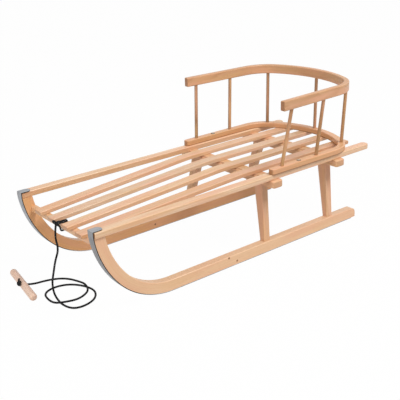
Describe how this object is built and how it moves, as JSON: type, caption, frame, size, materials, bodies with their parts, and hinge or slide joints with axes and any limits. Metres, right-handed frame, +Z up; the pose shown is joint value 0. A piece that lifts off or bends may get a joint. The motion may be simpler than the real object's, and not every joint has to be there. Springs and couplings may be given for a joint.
{
  "type": "wooden sled with backrest",
  "caption": "Slatted beech sled on bent, steel-shod runners with a U-shaped spindle backrest for a small child and a tow cord with a wooden handle.",
  "frame": {"origin": "on the floor under the middle of the sled, without its cord", "axes": "+X forward to the runner tips, +Y to the sled's left, +Z up"},
  "size_m": [1.0049, 0.4044, 0.4085],
  "materials": {
    "beech": "clear satin lacquer",
    "runner_steel": "rolled strip",
    "handle_wood": "bare turned dowel",
    "cord": "braided"
  },
  "bodies": {
    "root": {"runner_left": "beech", "runner_right": "beech", "rail_left": "beech", "rail_right": "beech", "slat_1": "beech", "slat_2": "beech", "slat_3": "beech", "slat_4": "beech", "nose_bar": "beech", "crossbar_front": "beech", "crossbar_rear": "beech", "leg_front_left": "beech", "leg_front_right": "beech", "leg_rear_left": "beech", "leg_rear_right": "beech", "backrest_base": "beech", "backrest_top": "beech", "spindle_front_left": "beech", "spindle_front_right": "beech", "spindle_middle_left": "beech", "spindle_middle_right": "beech", "spindle_corner_left": "beech", "spindle_corner_right": "beech", "spindle_back": "beech", "runner_iron_left": "runner_steel", "runner_iron_right": "runner_steel", "tow_handle": "handle_wood", "tow_cord": "cord", "cord_tie": "cord", "cord_knot": "cord", "handle_knot": "cord"}
  },
  "joints": []
}
